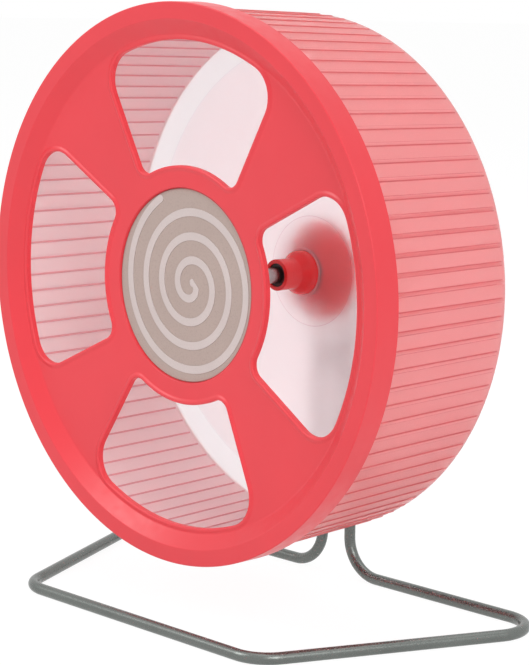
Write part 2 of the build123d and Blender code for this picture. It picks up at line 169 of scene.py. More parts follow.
def rounded(points: list[Point], radii: list[float], closed: bool = True, steps: int = 5) -> list[Point]:
    """Round the corners of an outline.

    Args:
        points: The outline's corners.
        radii: The radius of each corner, 0 where it stays sharp.
        closed: Whether the last corner joins the first.
        steps: Pieces in each round.

    Returns:
        The outline's points with the rounds in it.
    """
    result: list[Point] = []
    for index, (corner, radius) in enumerate(zip(points, radii)):
        at_end = not closed and index in (0, len(points) - 1)
        if radius <= 0 or at_end:
            result.append(corner)
            continue
        here = Vector(corner)
        back = Vector(points[index - 1]) - here
        ahead = Vector(points[(index + 1) % len(points)]) - here
        half = back.angle(ahead) / 2
        reach = min(radius / math.tan(half), CORNER_SHARE * back.length, CORNER_SHARE * ahead.length)
        centre = here + (back.normalized() + ahead.normalized()).normalized() * (reach / math.cos(half))
        start = here + back.normalized() * reach - centre
        end = here + ahead.normalized() * reach - centre
        first = math.atan2(start.y, start.x)
        sweep = (math.atan2(end.y, end.x) - first + math.pi) % (2 * math.pi) - math.pi
        turns = [first + sweep * step / steps for step in range(steps + 1)]
        result.extend(polar(start.length, turn, centre) for turn in turns)
    return result


def lathe(profile: list[Point], segments: int, closed: bool = True) -> MeshData:
    """Turn an outline of (radius, depth) points about the axle.

    Args:
        profile: The outline.
        segments: Steps around the axle.
        closed: Whether the last point joins the first.

    Returns:
        Vertices and faces.
    """
    verts: list[Vector] = []
    rings: list[list[int]] = []
    for radius, depth in profile:
        if radius < TINY:
            rings.append([len(verts)] * segments)
            verts.append(at_wheel(0, depth, 0))
            continue
        rings.append(list(range(len(verts), len(verts) + segments)))
        verts.extend(at_wheel(x, depth, up) for x, up in circle(radius, segments))
    return verts, ring_faces(rings, closed)


def ring_faces(rings: list[list[int]], closed: bool) -> list[tuple[int, ...]]:
    """Join rings of vertices with faces.

    Args:
        rings: Vertex numbers of each ring, all of one length.
        closed: Whether the last ring joins the first.

    Returns:
        The faces, without any that has no area.
    """
    faces: list[tuple[int, ...]] = []
    pairs = list(zip(rings, rings[1:]))
    if closed:
        pairs.append((rings[-1], rings[0]))
    for low, high in pairs:
        for step in range(len(low)):
            after = (step + 1) % len(low)
            corners = (low[step], low[after], high[after], high[step])
            unique = tuple(dict.fromkeys(corners))
            if len(unique) > 2:
                faces.append(unique)
    return faces


def swept(rings: list[list[Vector]], closed: bool = False, capped: bool = False) -> MeshData:
    """Join rings of points into a skin.

    Args:
        rings: The rings, all with the same number of points.
        closed: Whether the last ring joins the first.
        capped: Whether the first and the last ring get a face.

    Returns:
        Vertices and faces.
    """
    size = len(rings[0])
    numbers = [list(range(index * size, (index + 1) * size)) for index in range(len(rings))]
    faces = ring_faces(numbers, closed)
    if capped:
        faces += [tuple(numbers[0]), tuple(numbers[-1])]
    return [vert for ring in rings for vert in ring], faces


def joined(*meshes: MeshData) -> MeshData:
    """Put several meshes into one.

    Args:
        meshes: Vertices and faces of each.

    Returns:
        Vertices and faces.
    """
    verts: list[Vector] = []
    faces: list[tuple[int, ...]] = []
    for more_verts, more_faces in meshes:
        start = len(verts)
        verts.extend(more_verts)
        faces.extend(tuple(start + corner for corner in face) for face in more_faces)
    return verts, faces


def smoothed(mesh: bpy.types.Mesh, merge: float = 0.0) -> None:
    """Turn a mesh's faces outwards and shade it smooth.

    Args:
        mesh: The mesh.
        merge: Distance within which points become one, none where 0.
    """
    work = bmesh.new()
    work.from_mesh(mesh)
    if merge:
        bmesh.ops.remove_doubles(work, verts=work.verts, dist=merge)
    bmesh.ops.recalc_face_normals(work, faces=work.faces)
    work.to_mesh(mesh)
    work.free()
    mesh.shade_smooth()


@dataclass
class Piece:
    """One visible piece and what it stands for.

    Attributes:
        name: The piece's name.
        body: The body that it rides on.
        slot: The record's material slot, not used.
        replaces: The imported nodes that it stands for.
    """

    name: str
    body: Body
    slot: Slot
    replaces: tuple[str, ...] = ()

    def make(self, data: MeshData, finish: bpy.types.Material) -> None:
        """Build the piece from vertices and faces.

        Args:
            data: Vertices and faces.
            finish: Its material.
        """
        mesh = bpy.data.meshes.new(self.name)
        mesh.from_pydata(data[0], [], data[1])
        smoothed(mesh, MERGE)
        self.settle(mesh, [finish])

    def settle(self, mesh: bpy.types.Mesh, finishes: list[bpy.types.Material]) -> None:
        """Give the piece its mesh, its finishes and its body, and hide the solids that it replaces.

        Args:
            mesh: The mesh.
            finishes: Its materials.
        """
        obj = bpy.data.objects.new(self.name, mesh)
        bpy.context.scene.collection.objects.link(obj)
        for finish in finishes:
            obj.data.materials.append(finish)
        normals = obj.modifiers.new("even_normals", "WEIGHTED_NORMAL")
        normals.keep_sharp = True
        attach(obj, self.body.value)
        if self.replaces:
            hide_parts(*self.replaces)
        LOG.info("%s: %d faces", self.name, len(mesh.polygons))


class Graph:
    """A node tree while it is being put together."""

    def __init__(self, owner: bpy.types.Material | bpy.types.World) -> None:
        """Empty the tree of a material or of the world.

        Args:
            owner: The material or the world.
        """
        owner.use_nodes = True
        self.tree = owner.node_tree
        self.tree.nodes.clear()

    def node(self, kind: str, **inputs: object) -> bpy.types.Node:
        """Add a node and set or link its inputs.

        Args:
            kind: The node's type.
            inputs: Values or sockets, named as the node's inputs with _ for each space.

        Returns:
            The node.
        """
        node = self.tree.nodes.new(kind)
        for name, value in inputs.items():
            self.feed(node.inputs[name.replace("_", " ")], value)
        return node

    def feed(self, socket: Socket, value: object) -> None:
        """Set a socket to a value, or link another socket to it.

        Args:
            socket: The socket.
            value: The value or the other socket.
        """
        if isinstance(value, Socket):
            self.tree.links.new(value, socket)
        else:
            socket.default_value = value

    def reckon(self, operation: str, first: object, second: object) -> Socket:
        """Work out a number from two others.

        Args:
            operation: What is done with them.
            first: First value or socket.
            second: Second value or socket.

        Returns:
            The number's socket.
        """
        node = self.tree.nodes.new("ShaderNodeMath")
        node.operation = operation
        self.feed(node.inputs[0], first)
        self.feed(node.inputs[1], second)
        return node.outputs[0]

    def layered(self, share: object, first: bpy.types.Node, second: bpy.types.Node) -> Socket:
        """Mix two shaders.

        Args:
            share: How much of the second one, a number or a socket.
            first: First shader.
            second: Second shader.

        Returns:
            The mixed shader's socket.
        """
        node = self.node("ShaderNodeMixShader", Fac=share)
        self.feed(node.inputs[1], first.outputs[0])
        self.feed(node.inputs[2], second.outputs[0])
        return node.outputs[0]

    def seen(self) -> Socket:
        """Tell the rays that are seen from those that only light.

        Returns:
            One for rays from the camera, off gloss or through glass, and nought for others.
        """
        path = self.tree.nodes.new("ShaderNodeLightPath")
        total = path.outputs["Is Camera Ray"]
        for name in ("Is Glossy Ray", "Is Transmission Ray"):
            total = self.reckon("MAXIMUM", total, path.outputs[name])
        return total


class Recipe(Graph):
    """A node material of one main shader while it is being put together."""

    def __init__(self, name: str) -> None:
        """Start the material.

        Args:
            name: The material's name.
        """
        self.material = bpy.data.materials.new(name)
        super().__init__(self.material)
        self.shader = self.tree.nodes.new("ShaderNodeBsdfPrincipled")
        self.output = self.node("ShaderNodeOutputMaterial", Surface=self.shader.outputs["BSDF"])
        self.place = self.tree.nodes.new("ShaderNodeTexCoord").outputs["Object"]

    def stretched(self, x: float, y: float, z: float) -> Socket:
        """Object coordinates scaled by their own amount along each axis."""
        return self.node("ShaderNodeMapping", Vector=self.place, Scale=(x, y, z)).outputs["Vector"]

    def noise(self, scale: float, detail: float = 3.0, place: Socket | None = None) -> Socket:
        """A noise pattern fixed to the object.

        Args:
            scale: Patches in a metre.
            detail: Levels of finer patches.
            place: Coordinates, the object's own if left out.

        Returns:
            The pattern's strength, from 0 to 1.
        """
        node = self.node("ShaderNodeTexNoise", Scale=scale, Detail=detail, Vector=place or self.place)
        return node.outputs["Fac"]

    def span(self, value: Socket, low: float, high: float, start: float = 0.3, end: float = 0.7) -> Socket:
        """Stretch a pattern between two values.

        Args:
            value: The pattern.
            low: Result at the pattern's start.
            high: Result at the pattern's end.
            start: Pattern value that gives low.
            end: Pattern value that gives high.

        Returns:
            The stretched pattern.
        """
        node = self.tree.nodes.new("ShaderNodeMapRange")
        for socket, amount in zip(node.inputs, (value, start, end, low, high)):
            self.feed(socket, amount)
        return node.outputs["Result"]

    def blend(self, share: object, first: object, second: object) -> Socket:
        """Mix two colours.

        Args:
            share: How much of the second one, a number or a socket.
            first: First colour or socket.
            second: Second colour or socket.

        Returns:
            The mixed colour.
        """
        node = self.tree.nodes.new("ShaderNodeMix")
        node.data_type = "RGBA"
        self.feed(node.inputs["Factor"], share)
        for socket, colour in ((node.inputs[6], first), (node.inputs[7], second)):
            self.feed(socket, (*colour, 1.0) if isinstance(colour, tuple) else colour)
        return node.outputs[2]

    def clouded(self, pattern: Socket, colour: Colour, darker: float, lighter: float) -> Socket:
        """Let a colour drift with a pattern.

        Args:
            pattern: The pattern.
            colour: The middle colour.
            darker: Share by which it gets darker.
            lighter: Share by which it gets lighter.

        Returns:
            The drifting colour.
        """
        return self.blend(self.span(pattern, 0.0, 1.0), varied(colour, -darker), varied(colour, lighter))

    def bump(self, height: Socket, depth: float, strength: float) -> None:
        """Give the main shader a relief.

        Args:
            height: The relief's pattern.
            depth: Its depth in metres.
            strength: How much of it shows.
        """
        node = self.node("ShaderNodeBump", Height=height, Distance=depth, Strength=strength)
        self.feed(self.shader.inputs["Normal"], node.outputs["Normal"])

    def set(self, **inputs: object) -> None:
        """Set or link inputs of the main shader, with _ for each space in a name."""
        for name, value in inputs.items():
            self.feed(self.shader.inputs[name.replace("_", " ")], value)


def varied(colour: Colour, amount: float) -> Colour:
    """A colour made lighter or darker by a share of itself."""
    return tuple(min(1.0, part * (1 + amount)) for part in colour)


@dataclass(frozen=True)
class Finish:
    """What every finish has.

    Attributes:
        name: The material's name.
        colour: Linear colour of the surface.
        roughness: Middle roughness.
    """

    name: str
    colour: Colour
    roughness: float


@dataclass(frozen=True)
class MouldedPlastic(Finish):
    """Moulded plastic with faint flow clouding and a fine moulded grain.

    Attributes:
        clouding: Share by which the colour drifts.
        grain_depth: Depth of the fine grain in metres.
        flow_scale: Clouds in a metre.
        wear_scale: Patches of wear in a metre.
        grain_scale: Grains in a metre.
    """

    clouding: float = 0.03
    grain_depth: float = 0.00002
    flow_scale: float = 22.0
    wear_scale: float = 180.0
    grain_scale: float = 2600.0

    def material(self) -> bpy.types.Material:
        """Build the node material."""
        recipe = Recipe(self.name)
        flow = recipe.noise(self.flow_scale, 2.0, recipe.stretched(1.0, 0.6, 1.0))
        tint = recipe.clouded(flow, self.colour, self.clouding, self.clouding)
        wear = recipe.noise(self.wear_scale, 4.0)
        recipe.set(
            Base_Color=tint,
            Roughness=recipe.span(wear, self.roughness - 0.05, self.roughness + 0.06),
            IOR=1.5,
        )
        recipe.bump(recipe.noise(self.grain_scale, 2.0), self.grain_depth, 0.6)
        return recipe.material


@dataclass(frozen=True)
class SpeckledPlastic(Finish):
    """Matt plastic with fine speckles.

    Attributes:
        speckle: Share by which the speckles are darker.
        drift: Share by which the colour drifts.
        drift_scale: Clouds in a metre.
        dot_scale: Speckles in a metre.
        dot_depth: Depth of the speckles in metres.
    """

    speckle: float = 0.1
    drift: float = 0.03
    drift_scale: float = 30.0
    dot_scale: float = 1400.0
    dot_depth: float = 0.00003

    def material(self) -> bpy.types.Material:
        """Build the node material."""
        recipe = Recipe(self.name)
        cloud = recipe.clouded(recipe.noise(self.drift_scale, 2.0), self.colour, self.drift, self.drift)
        dots = recipe.noise(self.dot_scale, 3.0)
        spots = recipe.span(dots, 0.0, 1.0, 0.52, 0.72)
        tint = recipe.blend(spots, cloud, varied(self.colour, -self.speckle))
        recipe.set(
            Base_Color=tint,
            Roughness=recipe.span(dots, self.roughness - 0.06, self.roughness + 0.08),
            IOR=1.46,
        )
        recipe.bump(dots, self.dot_depth, 0.5)
        return recipe.material


@dataclass(frozen=True)
class FrostedPlastic(Finish):
    """Frosted see-through plastic, with painted shade along its moulded bars' edges.

    Attributes:
        line: Linear colour of the painted shade along the bars' edges and creases.
        glow: Linear colour of the light that comes through.
        through: Share of the light that comes through.
        blur: Roughness of what is seen through it.
        line_glow: Share of the painted shade's colour in the light that comes through.
        drift: Share by which the colour drifts.
        flow_scale: Clouds in a metre.
        frost_scale: Grains of the frosting in a metre.
        frost_depth: Depth of the frosting in metres.
    """

    line: Colour
    glow: Colour
    through: float
    blur: float = 0.5
    line_glow: float = 0.5
    drift: float = 0.02
    flow_scale: float = 14.0
    frost_scale: float = 2200.0
    frost_depth: float = 0.00001

    def material(self) -> bpy.types.Material:
        """Build the node material."""
        recipe = Recipe(self.name)
        cloud = recipe.clouded(recipe.noise(self.flow_scale, 2.0), self.colour, self.drift, self.drift)
        # Painted shade: where the attribute marks a bar's edge or a crease, the colour turns to the darker
        # line colour.
        edge = recipe.tree.nodes.new("ShaderNodeAttribute")
        edge.attribute_name = PAINTED_EDGE_SHADE
        tint = recipe.blend(edge.outputs["Fac"], cloud, self.line)
        frost = recipe.noise(self.frost_scale, 2.0)
        recipe.set(
            Base_Color=tint,
            Roughness=recipe.span(frost, self.roughness - 0.04, self.roughness + 0.05),
            IOR=1.49,
        )
        recipe.bump(frost, self.frost_depth, 0.5)
        # The light that comes through is darkened at those marks too, also painted shade.
        shade = recipe.span(edge.outputs["Fac"], 0.0, self.line_glow, 0.0, 1.0)
        glow = recipe.blend(shade, self.glow, self.line)
        lit = recipe.node("ShaderNodeBsdfGlass", Color=glow, Roughness=self.blur, IOR=1.3)
        recipe.feed(recipe.output.inputs["Surface"], recipe.layered(self.through, recipe.shader, lit))
        return recipe.material


@dataclass(frozen=True)
class CoatedSteel(Finish):
    """Steel under a satin coating with a faint orange-peel relief.

    Attributes:
        peel: Depth of the relief in metres.
        metallic: How metallic the coating looks.
        drift: Share by which the colour drifts.
        drift_scale: Clouds in a metre.
        peel_scale: Dimples in a metre.
    """

    peel: float = 0.00004
    metallic: float = 0.75
    drift: float = 0.08
    drift_scale: float = 40.0
    peel_scale: float = 900.0

    def material(self) -> bpy.types.Material:
        """Build the node material."""
        recipe = Recipe(self.name)
        tint = recipe.clouded(recipe.noise(self.drift_scale), self.colour, self.drift, self.drift)
        peel = recipe.noise(self.peel_scale)
        recipe.set(
            Base_Color=tint,
            Metallic=self.metallic,
            Roughness=recipe.span(peel, self.roughness - 0.07, self.roughness + 0.07),
        )
        recipe.bump(peel, self.peel, 0.5)
        return recipe.material


@dataclass(frozen=True)
class TurnedSteel(Finish):
    """Bare steel with fine turning marks around the axle.

    Attributes:
        marks: Depth of the turning marks in metres.
        mark_scale: Marks in a metre across, along and up the axle.
        drift_scale: Clouds in a metre.
    """

    marks: float = 0.000015
    mark_scale: tuple[float, float, float] = (40.0, 5200.0, 40.0)
    drift_scale: float = 260.0

    def material(self) -> bpy.types.Material:
        """Build the node material."""
        recipe = Recipe(self.name)
        rings = recipe.noise(1.0, 2.0, recipe.stretched(*self.mark_scale))
        tint = recipe.clouded(recipe.noise(self.drift_scale), self.colour, 0.1, 0.08)
        recipe.set(
            Base_Color=tint,
            Metallic=1.0,
            Roughness=recipe.span(rings, self.roughness - 0.08, self.roughness + 0.1),
        )
        recipe.bump(rings, self.marks, 0.6)
        return recipe.material


class Finishes:
    """All the wheel's materials, each made once."""

    def __init__(self) -> None:
        """Build every material."""
        self.cover = MouldedPlastic("coral_plastic", srgb(234, 60, 70), 0.36, 0.025).material()
        self.disc = SpeckledPlastic("taupe_plastic", srgb(184, 164, 156), 0.62).material()
        self.spiral = SpeckledPlastic("pale_taupe_plastic", srgb(211, 197, 194), 0.62, 0.05).material()
        # The line colours of the drum's finishes are painted shade along its bar edges and creases.
        self.tread_outside = FrostedPlastic(
            "drum_tread_outside", srgb(254, 104, 102), 0.24, srgb(236, 72, 76), srgb(254, 238, 238), 0.5,
            line_glow=0.35,
        ).material()
        self.tread_inside = FrostedPlastic(
            "drum_tread_inside", srgb(255, 246, 248), 0.24, srgb(236, 160, 174), srgb(255, 251, 252), 0.5,
            line_glow=0.3,
        ).material()
        self.corner_band = FrostedPlastic(
            "drum_corner_band", srgb(253, 250, 251), 0.24, srgb(240, 230, 235), srgb(255, 253, 254), 0.9
        ).material()
        self.back_wall = FrostedPlastic(
            "drum_back_wall", srgb(252, 236, 240), 0.2, srgb(216, 176, 188), srgb(254, 249, 250), 0.93, 0.9
        ).material()
        # Painted highlight: a pale, nearly opaque ring where the hub sits on the back wall.
        self.seat_highlight = FrostedPlastic(
            "drum_hub_seat_painted_highlight", srgb(250, 226, 230), 0.24, srgb(222, 186, 196), srgb(254, 240, 243), 0.15
        ).material()
        self.hub = MouldedPlastic("red_hub_plastic", srgb(222, 40, 46), 0.18, 0.05, 0.00001).material()
        self.bush = MouldedPlastic("black_bush_plastic", srgb(26, 24, 25), 0.45, 0.1).material()
        self.cage = MouldedPlastic("cage_plastic", srgb(150, 140, 120), 0.5, 0.06).material()
        self.wire = CoatedSteel("coated_wire", srgb(112, 116, 113), 0.3).material()
        self.weld = CoatedSteel("coated_weld", srgb(108, 103, 99), 0.42, 0.00012, 0.5).material()
        self.axle = TurnedSteel("axle_steel", srgb(160, 156, 156), 0.28).material()
        self.bearing = TurnedSteel("bearing_steel", srgb(196, 196, 198), 0.22).material()


@dataclass
class Windows:
    """The four windows of the front cover, as outlines in the cover's own plane."""

    count: int = 4
    turn: float = -2.8
    inner_r: float = 60.0
    outer_r: float = 121.8
    side_angle: float = 28.35
    side_offset: float = 5.2
    inner_fillet: float = 7.0
    outer_fillet: float = 15.0
    arc_steps: tuple[int, int, int, int] = (60, 24, 64, 110)

    def outline(self, number: int, grow: float) -> list[Point]:
        """Outline of a window, moved outwards by an even amount.

        Args:
            number: Which window, from 0.
            grow: Millimetres that the outline lies outside the window's edge.

        Returns:
            The closed outline's points.
        """
        half = self._half(grow)
        whole = half + [(x, -y) for x, y in reversed(half)][1:-1]
        turn = math.radians(self.turn + 360 * number / self.count)
        cos, sin = math.cos(turn), math.sin(turn)
        return [(x * cos - y * sin, x * sin + y * cos) for x, y in whole]

    def _half(self, grow: float) -> list[Point]:
        """Outline the half of a window above its middle line.

        Args:
            grow: Millimetres that the outline lies outside the window's edge.

        Returns:
            Its points, from the inner to the outer edge.
        """
        side = math.radians(self.side_angle)
        along = Vector((math.cos(side), math.sin(side)))
        across = Vector((-math.sin(side), math.cos(side)))
        inner, outer = self.inner_r - grow, self.outer_r + grow
        offset = self.side_offset + grow
        small, large = self.inner_fillet + grow, self.outer_fillet + grow
        low = across * (offset - small) + along * math.sqrt((inner + small) ** 2 - (offset - small) ** 2)
        high = across * (offset - large) + along * math.sqrt((outer - large) ** 2 - (offset - large) ** 2)
        low_arc, low_line = low * (inner / low.length), low + across * small
        high_line, high_arc = high + across * large, high * (outer / high.length)
        points = self._arc(Vector((0, 0)), Vector((inner, 0)), low_arc, self.arc_steps[0] // 2)
        points += self._arc(low, low_arc, low_line, self.arc_steps[1])[1:]
        for step in range(1, self.arc_steps[2]):
            points.append(tuple(low_line.lerp(high_line, step / self.arc_steps[2])))
        points += self._arc(high, high_line, high_arc, self.arc_steps[1])
        points += self._arc(Vector((0, 0)), high_arc, Vector((outer, 0)), self.arc_steps[3] // 2)[1:]
        return points

    @staticmethod
    def _arc(centre: Vector, start: Vector, end: Vector, steps: int) -> list[Point]:
        """Follow the short arc about a centre from one point to another.

        Args:
            centre: The centre.
            start: The first point.
            end: The last point.
            steps: Pieces of the arc.

        Returns:
            The arc's points.
        """
        first = math.atan2(start.y - centre.y, start.x - centre.x)
        last = math.atan2(end.y - centre.y, end.x - centre.x)
        sweep = (last - first + math.pi) % (2 * math.pi) - math.pi
        radius = (start - centre).length
        return [polar(radius, first + sweep * step / steps, centre) for step in range(steps + 1)]


def inside(points: np.ndarray, outline: list[Point]) -> np.ndarray:
    """Test which points lie inside a closed outline.

    Args:
        points: An array of x and y.
        outline: The outline.

    Returns:
        True for each point that lies inside.
    """
    ring = np.array(outline)
    after = np.roll(ring, -1, axis=0)
    result = np.zeros(len(points), dtype=bool)
    for (x0, y0), (x1, y1) in zip(ring, after):
        crosses = (y0 > points[:, 1]) != (y1 > points[:, 1])
        if not crosses.any():
            continue
        reach = x0 + (points[:, 1] - y0) * (x1 - x0) / (y1 - y0)
        result ^= crosses & (points[:, 0] < reach)
    return result


@dataclass
class FrontCover:
    """The coral front cover: rim, skirt, cove, dished face and rolled window edges."""

    windows: Windows = field(default_factory=Windows)
    rim_r: float = 140.2
    rim_round: float = 1.3
    skirt_r: float = 138.2
    skirt_depth: float = 14.5
    ledge: Point = (134.3, 2.9)
    dish_r: float = 124.2
    dish_depth: float = 6.3
    dish_back: float = 8.8
    seat_r: float = 48.75
    seat_depth: float = 9.7
    well_r: float = 51.25
    well_depth: float = 12.2
    rim_segments: int = 720
    hub_segments: int = 360
    first_row: float = 0.9
    rows: tuple[float, float, float] = (54.0, 122.0, 3.4)
    fine_rows: float = 118.0
    clearance: float = 0.45
    sheet_merge: float = 1e-5
    sheet_slack: float = 1e-3
    wall_edge: tuple[Point, ...] = ((0.0, 0.35), (0.09, 0.09), (0.3, 0.0))
    lip: tuple[tuple[float, float], ...] = (
        (0.0, 0.1), (0.08, 0.34), (0.3, 0.56), (0.65, 0.72), (1.05, 0.78), (1.45, 0.73),
        (1.85, 0.56), (2.25, 0.31), (2.65, 0.11), (3.0, 0.02), (3.3, 0.0),
    )

    def build(self, finishes: Finishes) -> None:
        """Build the cover and replace its solid.

        Args:
            finishes: The wheel's materials.
        """
        front = self._front_profile()
        back = [(self.well_r, self.well_depth), (self.dish_r, self.dish_back), self.ledge]
        parts = [
            self._sheet(front, self.lip[-1][0]),
            self._sheet(back, self.wall_edge[-1][0]),
            *self._window_edges(front, back),
            lathe(self._rim_profile(front), self.rim_segments, closed=False),
            lathe(self._hub_profile(), self.hub_segments, closed=False),
        ]
        piece = Piece("front_cover_moulding", Body.WHEEL, Slot.COVER, ("front_cover",))
        piece.make(joined(*parts), finishes.cover)

    def _front_profile(self) -> list[Point]:
        """Radius and depth along the front, from the disc's seat out to the rim's edge."""
        corners = [(self.seat_r, self.seat_depth), (self.dish_r, self.dish_depth),
                   (131.8, 0.3), (133.4, 0.25), (self.rim_r - self.rim_round, 0.06)]
        return rounded(corners, [0, 2.4, 1.2, 0, 0], closed=False, steps=8)

    def _rim_profile(self, front: list[Point]) -> list[Point]:
        """Draw the section of the rim's edge and the skirt.

        Args:
            front: Radius and depth along the cover's front.

        Returns:
            Radius and depth around the edge, down the skirt and back up inside it.
        """
        edge = [front[-1], (self.rim_r, 0.0), (self.rim_r, self.skirt_depth),
                (self.skirt_r, self.skirt_depth), (self.skirt_r, self.ledge[1]), self.ledge]
        return rounded(edge, [0, self.rim_round, 0.35, 0.35, 0.5, 0], closed=False)

    def _hub_profile(self) -> list[Point]:
        """Draw the section of the disc's well, the pocket and the boss.

        Returns:
            Radius and depth, from back to front.
        """
        corners = [(self.well_r, self.well_depth), (self.well_r, 14.8), (13.0, 14.8), (13.0, 21.0),
                   (9.05, 21.0), (9.05, 33.0), (6.05, 33.0), (6.05, 18.5), (10.6, 18.5), (10.6, 12.3),
                   (self.seat_r, 12.3), (self.seat_r, self.seat_depth)]
        radii = [0, 0.4, 0.6, 0.5, 0.6, 0.4, 0.2, 0.2, 0.2, 0.2, 0.1, 0]
        return rounded(corners, radii, closed=False, steps=3)

    def _sheet(self, profile: list[Point], grow: float) -> MeshData:
        """Mesh one side of the cover between its hub and its rim, around the windows.

        Args:
            profile: Radius and depth from the hub out.
            grow: How far outside each window's edge the sheet stops.

        Returns:
            Vertices and faces.
        """
        radii, depths = zip(*profile)
        loops = [self.windows.outline(number, grow) for number in range(self.windows.count)]
        rings = loops + [circle(radii[0], self.hub_segments), circle(radii[-1], self.rim_segments)]
        edges: list[tuple[int, int]] = []
        start = 0
        for ring in rings:
            edges += [(start + step, start + (step + 1) % len(ring)) for step in range(len(ring))]
            start += len(ring)
        rows = [radii[0] + self.first_row, *np.arange(*self.rows), *radii[1:-1]]
        flat = [Vector(point) for ring in [*rings, self._between(rows, loops)] for point in ring]
        verts, _, faces, *_ = delaunay_2d_cdt(flat, edges, [], 0, self.sheet_merge)
        places = np.array([tuple(vert) for vert in verts])
        middles = np.array([places[list(face)].mean(axis=0) for face in faces])
        hub_edge = radii[0] * math.cos(math.pi / self.hub_segments) - self.sheet_slack
        keep = np.hypot(middles[:, 0], middles[:, 1]) > hub_edge
        for loop in loops:
            keep &= ~inside(middles, loop)
        levels = np.interp(np.hypot(places[:, 0], places[:, 1]), radii, depths)
        points = [at_wheel(x, depth, up) for (x, up), depth in zip(places, levels)]
        return points, [tuple(face) for face, kept in zip(faces, keep) if kept]

    def _between(self, radii: list[float], loops: list[list[Point]]) -> list[Point]:
        """Spread points on circles between the sheet's edges.

        Args:
            radii: Radius of each circle.
            loops: Outlines of the windows.

        Returns:
            The points that stay clear of the windows.
        """
        rings = []
        for radius in radii:
            count = self.rim_segments if radius > self.fine_rows else self.rim_segments // 2
            turns = TURN * np.arange(count) / count
            rings.append(np.stack([radius * np.cos(turns), radius * np.sin(turns)], axis=1))
        points = np.concatenate(rings)
        keep = np.ones(len(points), dtype=bool)
        for loop in loops:
            keep &= ~inside(points, loop)
            ring = np.array(loop)
            for part in range(0, len(points), BATCH):
                gaps = points[part:part + BATCH, None, :] - ring[None, :, :]
                keep[part:part + BATCH] &= np.hypot(gaps[..., 0], gaps[..., 1]).min(axis=1) > self.clearance
        return [tuple(point) for point in points[keep]]

    def _window_edges(self, front: list[Point], back: list[Point]) -> list[MeshData]:
        """The rolled lip and the wall of each window.

        Args:
            front: Radius and depth along the cover's front.
            back: Radius and depth along its back.

        Returns:
            One mesh for each window.
        """
        meshes = []
        for number in range(self.windows.count):
            rings = []
            for profile, steps in ((front, reversed(self.lip)), (back, self.wall_edge)):
                radii, depths = zip(*profile)
                for grow, rise in steps:
                    rings.append([at_wheel(x, float(np.interp(math.hypot(x, up), radii, depths)) - rise, up)
                                  for x, up in self.windows.outline(number, grow)])
            meshes.append(swept(rings))
        return meshes


@dataclass
class SpiralDisc:
    """The round centre plate with its even spiral band."""

    radius: float = 48.6
    front_depth: float = 10.7
    thickness: float = 1.6
    pitch: float = 12.0
    width: float = 4.2
    height: float = 0.25
    first_turn: float = 0.17
    last_turn: float = 3.97
    zero_angle: float = 108.0
    shift: Point = (4.4, 0.5)
    stations: int = 420
    cap_steps: int = 12
    cap_share: float = 0.02
    shoulders: tuple[Point, ...] = ((-1, 0), (-0.965, 0.7), (-0.88, 1), (0.88, 1), (0.965, 0.7), (1, 0))
    segments: int = 256

    def build(self, finishes: Finishes) -> None:
        """Build the plate and the band on it.

        Args:
            finishes: The wheel's materials.
        """
        back = self.front_depth + self.thickness
        corners = [(0.0, self.front_depth), (12.0, self.front_depth), (self.radius, self.front_depth),
                   (self.radius, back), (12.0, back), (0.0, back)]
        plate = lathe(rounded(corners, [0, 0, 0.4, 0.2, 0, 0]), self.segments)
        Piece("spiral_plate", Body.WHEEL, Slot.DISC, ("centre_disc",)).make(plate, finishes.disc)
        Piece("spiral_band", Body.WHEEL, Slot.SPIRAL, ("spiral_inlay",)).make(self._band(), finishes.spiral)

    def _band(self) -> MeshData:
        """Mesh the band, with its soft shoulders and round ends.

        Returns:
            Vertices and faces.
        """
        half = self.width / 2
        rings = []
        for turn, share, ahead in self._stations():
            angle = math.radians(self.zero_angle - 360 * turn)
            lean = math.atan2(1.0, TURN * turn)
            across = Vector(polar(1.0, angle + lean))
            along = Vector((across.y, -across.x))
            middle = Vector(polar(1.0, angle)) * self.pitch * turn + along * ahead
            ring = []
            for side, rise in self.shoulders:
                place = middle + across * half * share * side + Vector(self.shift)
                ring.append(at_wheel(place.x, self.front_depth - self.height * rise, place.y))
            rings.append(ring)
        return swept(rings, capped=True)

    def _stations(self) -> list[tuple[float, float, float]]:
        """Lay out the band's stations, round ends included.

        Returns:
            Turn, share of the full width and step along the band at each.
        """
        half = self.width / 2
        leans = [math.pi / 2 * step / self.cap_steps for step in range(1, self.cap_steps + 1)]
        caps = [(max(self.cap_share, math.cos(lean)), half * math.sin(lean)) for lean in leans]
        result = [(self.first_turn, share, -ahead) for share, ahead in reversed(caps)]
        for step in range(self.stations + 1):
            share = math.sqrt(step / self.stations)
            result.append((self.first_turn + (self.last_turn - self.first_turn) * share, 1.0, 0.0))
        return result + [(self.last_turn, share, ahead) for share, ahead in caps]


def mirrored(half: Section) -> Section:
    """Complete a bar's section of (offset, height, share of painted edge shade) from its left half."""
    return half + tuple((-offset, height, edge_shade) for offset, height, edge_shade in reversed(half))


